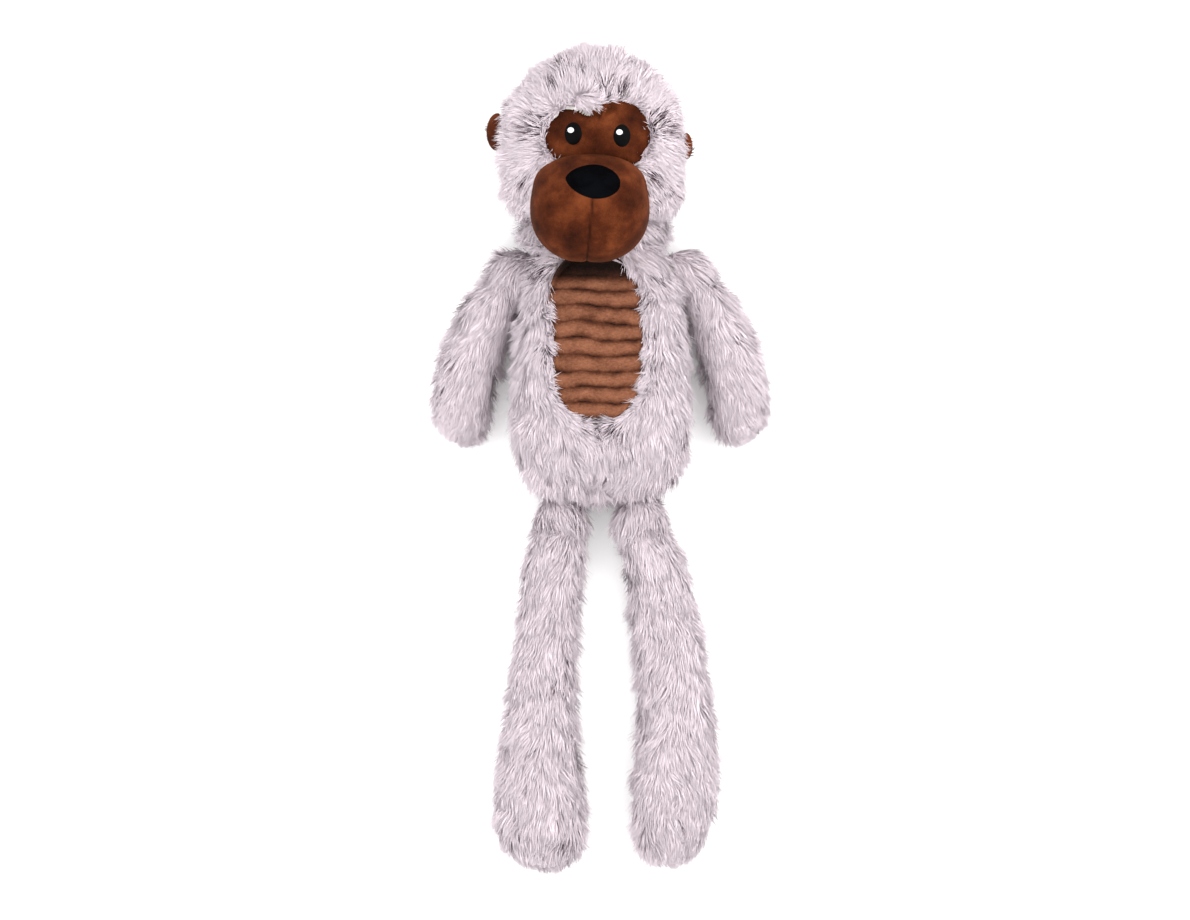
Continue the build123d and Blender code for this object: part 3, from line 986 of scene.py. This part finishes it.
points = coordinates(muzzle_skin.data)
muzzle_hold = muzzle_seam(points, 1.6 * MM)
skins_to_stuff = [(muzzle_skin, 5.0, 2.6 * MM, muzzle_hold)]
for skin, height in ((torso_skin, TORSO_SEAM), (head_skin, HEAD_SEAM)):
    away = coordinates(skin.data)[:, 2] - height
    skins_to_stuff.append((skin, 3.0, 3.0 * MM, seam_at(away, 5 * MM)))
for key, skin in limb_skins.items():
    away = coordinates(skin.data)[:, 2] - LIMB_SEAMS[key.split("_")[0]]
    skins_to_stuff.append((skin, 3.0, 2.0 * MM, seam_at(away, 4 * MM)))
stuff(skins_to_stuff)

# ---------------------------------------------------------------- pile of the torso

BELLY_CENTRE = np.array([-2 * MM, 20 * MM])
BELLY_HALF = np.array([28 * MM, 50 * MM])
BELLY_DRIFT = 3 * MM  # of the panel's top, towards -X
BELLY_TOP = 0.86


def belly_distance(points):
    """About how far a point is outside the belly panel's outline, seen from the front."""
    offset = points[:, :2] - BELLY_CENTRE
    offset[:, 0] += BELLY_DRIFT * smoothstep(0, BELLY_HALF[1], offset[:, 1])
    straight = BELLY_HALF[1] - BELLY_HALF[0]
    # the panel's top is fuller than its bottom, where it runs on under the chin
    beyond = np.maximum(np.abs(offset[:, 1]) - straight, 0) * np.where(offset[:, 1] > 0, BELLY_TOP, 1.0)
    return np.hypot(offset[:, 0], beyond) - BELLY_HALF[0]


def torso_fields(skin):
    points = coordinates(skin.data)
    x, y, z = points.T
    side = np.sign(x)
    comb = np.zeros_like(points)
    comb[:, 1] = -1
    comb[:, 0] = 0.3 * side * smoothstep(20 * MM, 50 * MM, np.abs(x))
    comb[:, 0] += 0.8 * side * smoothstep(35 * MM, 68 * MM, y)
    edge = belly_distance(points)
    near = (1 - smoothstep(0, 12 * MM, np.abs(edge))) * (z > 28 * MM)
    above = smoothstep(52 * MM, 66 * MM, y)
    comb[:, 0] -= 0.95 * near * np.sign(x - BELLY_CENTRE[0]) * (1 - above)
    comb[:, 1] += near * (0.2 + 2.4 * above * (1 - smoothstep(8 * MM, 16 * MM, np.abs(x - BELLY_CENTRE[0]))))
    pile = 1 - 0.25 * near + 0.25 * (1 - smoothstep(-70 * MM, -58 * MM, y))
    spots = [(-34, 62, 5), (-26, 50, 4), (-38, 72, 4), (32, 60, 4), (29, 44, 3), (-2, -34, 4), (10, -33, 4)]
    spots += [(45, -61, 4), (32, 26, 3), (-33, 12, 2.5), (-20, -58, 2.5)]
    strength = 1 - 0.45 * near
    combed(skin, comb, pile, 3, PARTED["torso"], strength=strength, spots=spots)
    front = smoothstep(26.5 * MM, 29.5 * MM, z)
    window = smoothstep(-0.2 * MM, 0.6 * MM, edge)
    return front * window, (1 - front) * (x < 0), (1 - front) * (x >= 0)


torso_fields(torso_skin)
torso_ground = ground_of(torso_skin)
front, back_left, back_right = torso_fields(torso_ground)
torso_points = coordinates(torso_ground.data)
for side, sign in SIDES.items():
    half = (torso_points[:, 0] * sign >= 0).astype(float)
    stands_for = ["torso_fur_front"] if side == "left" else []
    grow(f"torso_pile_front_{side}", torso_ground, "torso", stands_for, front * half, 11 + sign)
for side, cover, seed in (("left", back_left, 14), ("right", back_right, 15)):
    stands_for = [f"torso_fur_back_{side}"]
    grow(f"torso_pile_back_{side}", torso_ground, "torso", stands_for, cover, seed, density=BACK_DENSITY)
bpy.data.objects.remove(torso_ground)
finish(torso_skin, "torso", "backing_fabric")

# ---------------------------------------------------------------- pile of the head

FACE_CENTRE = Vector((-2.0 * MM, 142.5 * MM, 75 * MM))
FACE_OUTLINE_MM = [
    (-33, 143),
    (-30, 153),
    (-22, 160),
    (-12, 158.5),
    (-3, 158),
    (9, 162.5),
    (20, 160),
    (28, 150),
    (29, 138),
    (25, 128),
    (12, 122),
    (-6, 121),
    (-22, 123),
    (-31, 132),
]


UNDER_FACE = 2.2 * MM  # how far the skin is drawn in under the face panel


def outline_radii(outline, centre, turns):
    """How far the smooth closed outline is from its centre, at each of so many even turns."""
    corners = np.array(outline) * MM - np.array(centre[:2])
    angles = np.unwrap(np.arctan2(corners[:, 1], corners[:, 0]))
    reach = np.hypot(corners[:, 0], corners[:, 1])
    if angles[-1] < angles[0]:
        angles, reach = angles[::-1], reach[::-1]
    angles = np.concatenate([angles - 2 * math.pi, angles, angles + 2 * math.pi])
    reach = np.tile(reach, 3)
    wanted = np.linspace(angles[len(outline)], angles[len(outline)] + 2 * math.pi, turns, endpoint=False)
    radii = np.interp(wanted, angles, reach)
    for _ in range(max(1, turns // 24)):
        radii = (np.roll(radii, 1) + 2 * radii + np.roll(radii, -1)) / 4
    return wanted, radii


face_turns, face_radii = outline_radii(FACE_OUTLINE_MM, FACE_CENTRE, 160)


def face_distance(points):
    """About how far a point is outside the face panel's outline, seen from the front."""
    offset = points[:, :2] - np.array(FACE_CENTRE[:2])
    angle = np.arctan2(offset[:, 1], offset[:, 0])
    angle = face_turns[0] + np.mod(angle - face_turns[0], 2 * math.pi)
    edge = np.interp(angle, face_turns, face_radii, period=2 * math.pi)
    return np.hypot(offset[:, 0], offset[:, 1]) - edge


def muzzle_distance(points):
    offset = (points - np.array(muzzle_centre)) / np.array(muzzle_radii)
    return (np.linalg.norm(offset, axis=1) - 1) * muzzle_radii[0]


def head_fields(skin):
    points = coordinates(skin.data)
    x, y, z = points.T
    away = points - np.array([FACE_CENTRE.x, FACE_CENTRE.y - 14 * MM, FACE_CENTRE.z + 10 * MM])
    comb = unit(away)
    down = smoothstep(-12 * MM, 30 * MM, FACE_CENTRE.y - y)
    comb[:, 1] -= 0.9 * down + 0.15
    comb[:, 2] -= 0.2
    comb[:, 1] -= 1.2 * (1 - smoothstep(10 * MM, 45 * MM, z))
    brow = (1 - smoothstep(3 * MM, 9 * MM, np.abs(x + 9 * MM))) * smoothstep(150 * MM, 156 * MM, y)
    comb[:, 1] -= 1.9 * brow * (z > 50 * MM) * (1 - smoothstep(163 * MM, 171 * MM, y))
    outside = face_distance(points)
    pile = 0.66 + 0.34 * smoothstep(0, 14 * MM, outside)
    strength = 0.3 + 0.75 * smoothstep(0, 10 * MM, outside)
    strength += 0.25 * brow * (1 - smoothstep(158 * MM, 168 * MM, y))
    spots = [(-20, 179, 4), (-13, 176, 3), (-28, 169, 3), (3, 168, 4), (12, 167, 3), (34, 150, 5)]
    spots += [(37, 144, 4), (-36, 152, 3), (-40, 145, 4), (29, 120, 4), (-44, 118, 3), (38, 112, 3)]
    combed(skin, comb, pile, 9, PARTED["head"], sway=0.75, strength=strength, spots=spots)
    front = smoothstep(36 * MM, 40 * MM, z)
    face = smoothstep(0.1 * MM, 1.0 * MM, outside)
    face *= smoothstep(-2 * MM, 1 * MM, muzzle_distance(points))
    left = (x < FACE_CENTRE.x - 4 * MM).astype(float)
    return front * face * left, front * face * (1 - left), 1 - front


subdivided(head_skin)
points = coordinates(head_skin.data)
under = 1 - smoothstep(-1.0 * MM, 2.5 * MM, face_distance(points))
under *= points[:, 2] > 45 * MM
points -= normals(head_skin.data) * (UNDER_FACE * under)[:, None]
move_points(head_skin, points)
head_fields(head_skin)
head_ground = ground_of(head_skin, 1)
left, right, back = head_fields(head_ground)
for side, cover, seed in (("left", left, 21), ("right", right, 22)):
    stands_for = [f"head_fur_{side}"]
    grow(f"head_pile_{side}", head_ground, "head", stands_for, cover, seed, tufting=0.3, lift=0.33)
grow("head_pile_back", head_ground, "head", ["head_fur_back"], back, 23, density=BACK_DENSITY)
bpy.data.objects.remove(head_ground)
finish(head_skin, "head", "backing_fabric")

# ---------------------------------------------------------------- pile of the arms and legs

# where the pile parts: (x, y, radius), in millimetres
LIMB_SPOTS = {
    "arm_left": [(-94, -5, 2.5)],
    "arm_right": [(78, 22, 2.5)],
    "leg_left": [(-21, -281, 3.5), (-38, -226, 2.0), (-47, -130, 2.5)],
    "leg_right": [(46, -271, 3.0), (34, -122, 2.5)],
}

for side, sign in SIDES.items():
    for limb in ("arm", "leg"):
        key = f"{limb}_{side}"
        skin = limb_skins[key]
        points = coordinates(skin.data)
        pivot = np.array(joint_place(key))
        way = points.mean(axis=0) - pivot
        way[2] = 0
        way /= np.linalg.norm(way)
        comb = np.tile(way, (len(points), 1))
        height = LIMB_SEAMS[limb]
        reach = (points - pivot) @ way
        tip = reach.max()
        pile = 0.7 + 0.3 * smoothstep(8 * MM, 26 * MM, reach) - 0.4 * smoothstep(tip - 16 * MM, tip, reach)
        strength = 1 - 0.45 * smoothstep(tip - 18 * MM, tip, reach)
        seed = 31 + sign + 4 * (limb == "leg")
        combed(skin, comb, pile, seed, PARTED["limb"], strength=strength, spots=LIMB_SPOTS[key])
        upper = smoothstep(height - 1.5 * MM, height + 1.5 * MM, points[:, 2])
        grown = smoothstep(5 * MM, 9 * MM, reach)
        for part, cover in (("front", upper * grown), ("back", (1 - upper) * grown)):
            grow(
                f"{key}_pile_{part}",
                skin,
                key,
                [f"{key}_fur_{part}"],
                cover,
                40 + 3 * sign + (part == "back") + 10 * (limb == "leg"),
                density=FRONT_DENSITY if part == "front" else BACK_DENSITY,
                most=MOST_ON_LIMB[part],
            )
        finish(skin, key, "backing_fabric")

# ---------------------------------------------------------------- gussets

# (body, its CAD ball, how far the middle is shifted, radii, how the pile lies), in millimetres
GATHERS = (
    ("neck", "neck_gusset", (-1, 0, 0), (41, 14, 20), (0, -1, 0)),
    ("shoulder_left", "shoulder_gusset_left", (2, -3, 0), (15, 13.5, 12), (-0.7, -1, 0)),
    ("shoulder_right", "shoulder_gusset_right", (-2, -3, 0), (15, 13.5, 12), (0.7, -1, 0)),
    ("hip_left", "hip_gusset_left", (0, -3, -1), (14, 16, 12), (0, -1, 0)),
    ("hip_right", "hip_gusset_right", (0, -3, -1), (14, 16, 12), (0, -1, 0)),
)

for body, node, shift, radii, away in GATHERS:
    mid, _, _ = middle_of(node)
    centre = [m + d * MM for m, d in zip(mid, shift)]
    skin = rounded(f"{body}_gathers", centre, [r * MM for r in radii], rings=22, segments=32)
    points = coordinates(skin.data)
    points[:, 2] = np.maximum(points[:, 2], LOWEST_SKIN)
    move_points(skin, points)
    comb = np.tile(np.array(away, float), (len(points), 1))
    if body == "neck":
        comb[:, 0] = points[:, 0] / (28 * MM)
    from_pole = (points - np.array(centre)) @ (np.array(away) / np.linalg.norm(away)) / (max(radii[:2]) * MM)
    pile = 0.55 + 0.6 * smoothstep(-0.9, 0.3, from_pole)
    combed(skin, comb, pile, len(body), PARTED["gathers"])
    throat = (np.abs(points[:, 0] + 3 * MM) < 22 * MM) & (points[:, 2] > 30 * MM) & (body == "neck")
    cover = smoothstep(-0.95, -0.7, from_pole) * (1 - throat)
    grow(f"{body}_pile", skin, body, [], cover, 60 + len(body), density=GATHERS_DENSITY)
    finish(skin, body, "backing_fabric", [node])

# ---------------------------------------------------------------- face

head_tree = cad_tree(*head_nodes, "face_patch")


def dropped(tree, x, y):
    """The highest point of a tree at a place seen from the front, stepping over narrow gaps."""
    for step_x, step_y in ((0, 0), (0.5, 0), (-0.5, 0), (0, 0.5), (0, -0.5), (2, 2), (-2, -2)):
        place, _, _, _ = tree.ray_cast(Vector((x + step_x * MM, y + step_y * MM, 0.3)), -UP, 0.3)
        if place is not None:
            return Vector((x, y, place.z))
    return None


FACE_SMOOTHING = 14  # rounds, so that the panel spans the gaps between the CAD panels
FACE_MARGIN = 0.5 * MM  # how far the panel runs on under the pile
FACE_PUFF = 2.2 * MM
PANEL_THICKNESS = 1.6 * MM
STITCH_RIDGE = 0.12 * MM
NOSE_TILT = math.radians(-7)
NOSE_SQUARENESS = 1.8  # below 2, the oval is pinched towards its four points
NOSE_SKEW = 0.16


def face_panel():
    """The velour panel round the eyes: a padded sheet on the head, with its edge tucked under the pile."""
    turns, rings = len(face_turns), 22
    shares = np.arange(rings + 1) / rings
    reach = np.outer(shares, face_radii + FACE_MARGIN)
    x = FACE_CENTRE.x + reach * np.cos(face_turns)
    y = FACE_CENTRE.y + reach * np.sin(face_turns)
    height = np.array([[dropped(head_tree, *place).z for place in zip(*row)] for row in zip(x, y)])
    for _ in range(FACE_SMOOTHING):
        within = np.vstack([height[1:2], height[:-1]])
        beyond = np.vstack([height[1:], height[-1:]])
        height = (within + beyond + np.roll(height, 1, axis=1) + np.roll(height, -1, axis=1)) / 4
    height += (0.4 * MM + FACE_PUFF * (1 - shares**4) - FACE_PUFF * shares**8)[:, None]
    places = np.stack([x, y, height], axis=2).reshape(-1, 3)
    piece = mesh_object("face_panel", [places[0], *places[turns:]], disc_faces(turns, rings))
    work = bmesh.new()
    work.from_mesh(piece.data)
    bmesh.ops.recalc_face_normals(work, faces=work.faces)
    if sum(f.normal.z * f.calc_area() for f in work.faces) < 0:
        bmesh.ops.reverse_faces(work, faces=work.faces)
    work.to_mesh(piece.data)
    work.free()
    return finish(thickened(piece, PANEL_THICKNESS), "head", "short_pile", ["face_patch"])


face = face_panel()
face_top = BVHTree.FromObject(face, bpy.context.evaluated_depsgraph_get())


def sewn_on(name, node, slot, tree, turns, outline, rise, foot):
    """A low, closed dome over a CAD node, laid on the surface of a tree.

    outline gives how far a point is from the middle, from the node's half size, the share of the way out
    and the turn, and rise gives its height. foot is how far the underside reaches down.
    """
    rings = 20
    mid, low, high = middle_of(node)
    half = (high - low)[:2] / 2
    top = dropped(tree, mid[0], mid[1])
    vertices = []
    for i in range(rings + 1):
        share = i / rings
        for j in range(turns if i else 1):
            x, y = outline(half, share, 2 * math.pi * j / turns)
            place = dropped(tree, mid[0] + x, mid[1] + y) or top
            vertices.append(place + UP * rise(share, x))
    vertices.append(Vector((mid[0], mid[1], top.z - foot)))
    last, under = 1 + (rings - 1) * turns, 1 + rings * turns
    faces = disc_faces(turns, rings)
    faces += [(last + j, under, last + (j + 1) % turns) for j in range(turns)]
    return finish(facing_out(mesh_object(name, vertices, faces)), "head", slot, [node])


def embroidered(name, node, slot, dome, thread, tree):
    """An embroidered oval: a low dome of close satin stitches."""

    def outline(half, share, turn):
        return half[0] * share * math.cos(turn), half[1] * share * math.sin(turn)

    def rise(share, x):
        stitch = STITCH_RIDGE * abs(math.sin(math.pi * x / thread)) * (share < 0.97)
        return dome * (1 - share**3) - 0.5 * MM * (share == 1) + stitch

    return sewn_on(name, node, slot, tree, 64, outline, rise, 1.0 * MM)


for side in SIDES:
    eye = embroidered(f"eye_{side}_satin", f"eye_{side}", "embroidery_black", 1.3 * MM, 0.7 * MM, face_top)
    eye_top = BVHTree.FromObject(eye, bpy.context.evaluated_depsgraph_get())
    embroidered(f"eye_{side}_glint", f"eye_highlight_{side}", "embroidery_white", 0.7 * MM, 0.6 * MM, eye_top)

subdivided(muzzle_skin)
shape_muzzle()
finish(muzzle_skin, "head", "short_pile", ["muzzle_panel_left", "muzzle_panel_right"])
muzzle_top = BVHTree.FromObject(muzzle_skin, bpy.context.evaluated_depsgraph_get())


def nose():
    """The fleece nose: a padded, slightly pointed oval sewn onto the muzzle."""

    def outline(half, share, turn):
        spread = abs(math.cos(turn)) ** NOSE_SQUARENESS + abs(math.sin(turn)) ** NOSE_SQUARENESS
        pinch = 1.0 / spread ** (1 / NOSE_SQUARENESS)
        x = half[0] * share * pinch * math.cos(turn)
        y = half[1] * share * pinch * math.sin(turn)
        x += NOSE_SKEW * abs(y)
        level, steep = math.cos(NOSE_TILT), math.sin(NOSE_TILT)
        return x * level - y * steep, x * steep + y * level

    def rise(share, _):
        return 3.0 * MM * (1 - share**2.6) - 0.8 * MM * (share == 1)

    return sewn_on("nose", "nose_patch", "nose_fabric", muzzle_top, 72, outline, rise, 2.0 * MM)


nose()

# ---------------------------------------------------------------- belly

RIB_PITCH = 9.7 * MM
RIB_HEIGHT = 2.4 * MM
RIB_ROUNDNESS = 0.36  # the lower, the broader the ribs and the narrower the channels
BELLY_MARGIN = 0.4 * MM  # between the panel and its opening

torso_tree = cad_tree("torso_fur_front", "belly_panel")


def belly():
    """The ribbed belly: rounded ribs across the panel, with narrow channels that wander a little."""
    columns, rows = 84, 190
    vertices, faces, ribs = [], [], []
    width, height = BELLY_HALF[0] - BELLY_MARGIN, BELLY_HALF[1] - BELLY_MARGIN
    for i in range(rows + 1):
        v = 2 * i / rows - 1
        y = BELLY_CENTRE[1] + v * height
        straight = max(abs(v) * height - (height - width), 0) * (BELLY_TOP if v > 0 else 1.0)
        drift = BELLY_DRIFT * smoothstep(0, 1, v)
        half = math.sqrt(max(width**2 - straight**2, (2 * MM) ** 2))
        for j in range(columns + 1):
            u = 2 * j / columns - 1
            x = BELLY_CENTRE[0] - drift + u * half
            place = dropped(torso_tree, x, y)
            wave = 3.2 * MM * noise.noise(Vector((x / (24 * MM), y / (30 * MM), 3.3)))
            wave += 1.1 * MM * noise.noise(Vector((x / (8 * MM), y / (22 * MM), 8.1)))
            phase = (y + wave) / RIB_PITCH
            profile = abs(math.sin(math.pi * phase)) ** RIB_ROUNDNESS
            shallow = smoothstep(-0.4, 0.3, noise.noise(Vector((x / (13 * MM), y / (9 * MM), 6.2))))
            profile = 1 - (1 - profile) * (0.45 + 0.55 * shallow)
            edge = max(abs(u), abs(v))
            tuck = 2.5 * MM * smoothstep(0.9, 1.0, edge)
            lumpy = 0.5 * MM * noise.noise(Vector((x / (4 * MM), y / (3 * MM), 1.7)))
            lumpy += 0.25 * MM * noise.noise(Vector((x / (1.6 * MM), y / (1.2 * MM), 5.7)))
            vertices.append(place + UP * (RIB_HEIGHT * (profile - 1) + 1.5 * MM + lumpy - tuck))
            # painted shadow under the chin: towards the panel's top the rib value falls below zero, so the ramp
            # paints it near black
            ribs.append(profile * (1 - 1.1 * smoothstep(51 * MM, 65 * MM, y)))
    for i in range(rows):
        for j in range(columns):
            a = i * (columns + 1) + j
            faces.append((a, a + 1, a + columns + 2, a + columns + 1))
    piece = mesh_object("belly_ribs", vertices, faces)
    put_attribute(piece.data, "rib", ribs)
    return finish(thickened(piece, PANEL_THICKNESS), "torso", "ribbed_pile", ["belly_panel"])


belly()

# ---------------------------------------------------------------- ears

EAR_SIZES = {"left": (11.2 * MM, 11.5 * MM), "right": (7.5 * MM, 8.0 * MM)}  # reach and half length

for side, sign in SIDES.items():
    body = f"ear_{side}"
    root = Vector(joint_place(body))
    _, low, high = middle_of(f"{body}_front", f"{body}_back")
    tip = Vector((low[0] if sign < 0 else high[0], root.y, low[2]))
    outwards = (tip - root).normalized()
    facing = outwards.cross(Vector((0, 1, 0))).normalized()
    if facing.z < 0:
        facing = -facing
    reach, half = EAR_SIZES[side]
    turns, rings = 48, 10
    vertices = []
    for lift in (1, -1):
        for i in range(rings + 1):
            share = i / rings
            for j in range(turns if i else 1):
                turn = 2 * math.pi * j / turns
                out = reach * share * max(math.cos(turn), -0.12)
                along = half * share * math.sin(turn)
                cup = 2.4 * MM * share**2
                puff = 1.5 * MM * (1 - share**3) * lift
                vertices.append(root + outwards * out + Vector((0, along, 0)) + facing * (cup + puff))
    faces = disc_faces(turns, rings) + disc_faces(turns, rings, len(vertices) // 2)
    ear = facing_out(mesh_object(f"{body}_velour", vertices, faces))
    comb = np.tile(np.array(outwards), (len(ear.data.vertices), 1))
    combed(ear, comb, np.full(len(comb), 0.62), 70 + sign, PARTED["ear"])
    cover = (normals(ear.data) @ np.array(facing) < -0.2).astype(float)
    back = [f"{body}_back"]
    grow(f"{body}_pile", ear, body, back, cover, 71 + sign, EAR_PILE_LENGTH, BACK_DENSITY)
    finish(ear, body, "short_pile", [f"{body}_front"])

# ---------------------------------------------------------------- the CAD pieces that stay

for entry in frame["record"]["subparts"]:
    cad = frame["nodes"][entry["node"]]
    cad.data.materials.clear()
    cad.data.materials.append(materials[entry["material_slot"]])
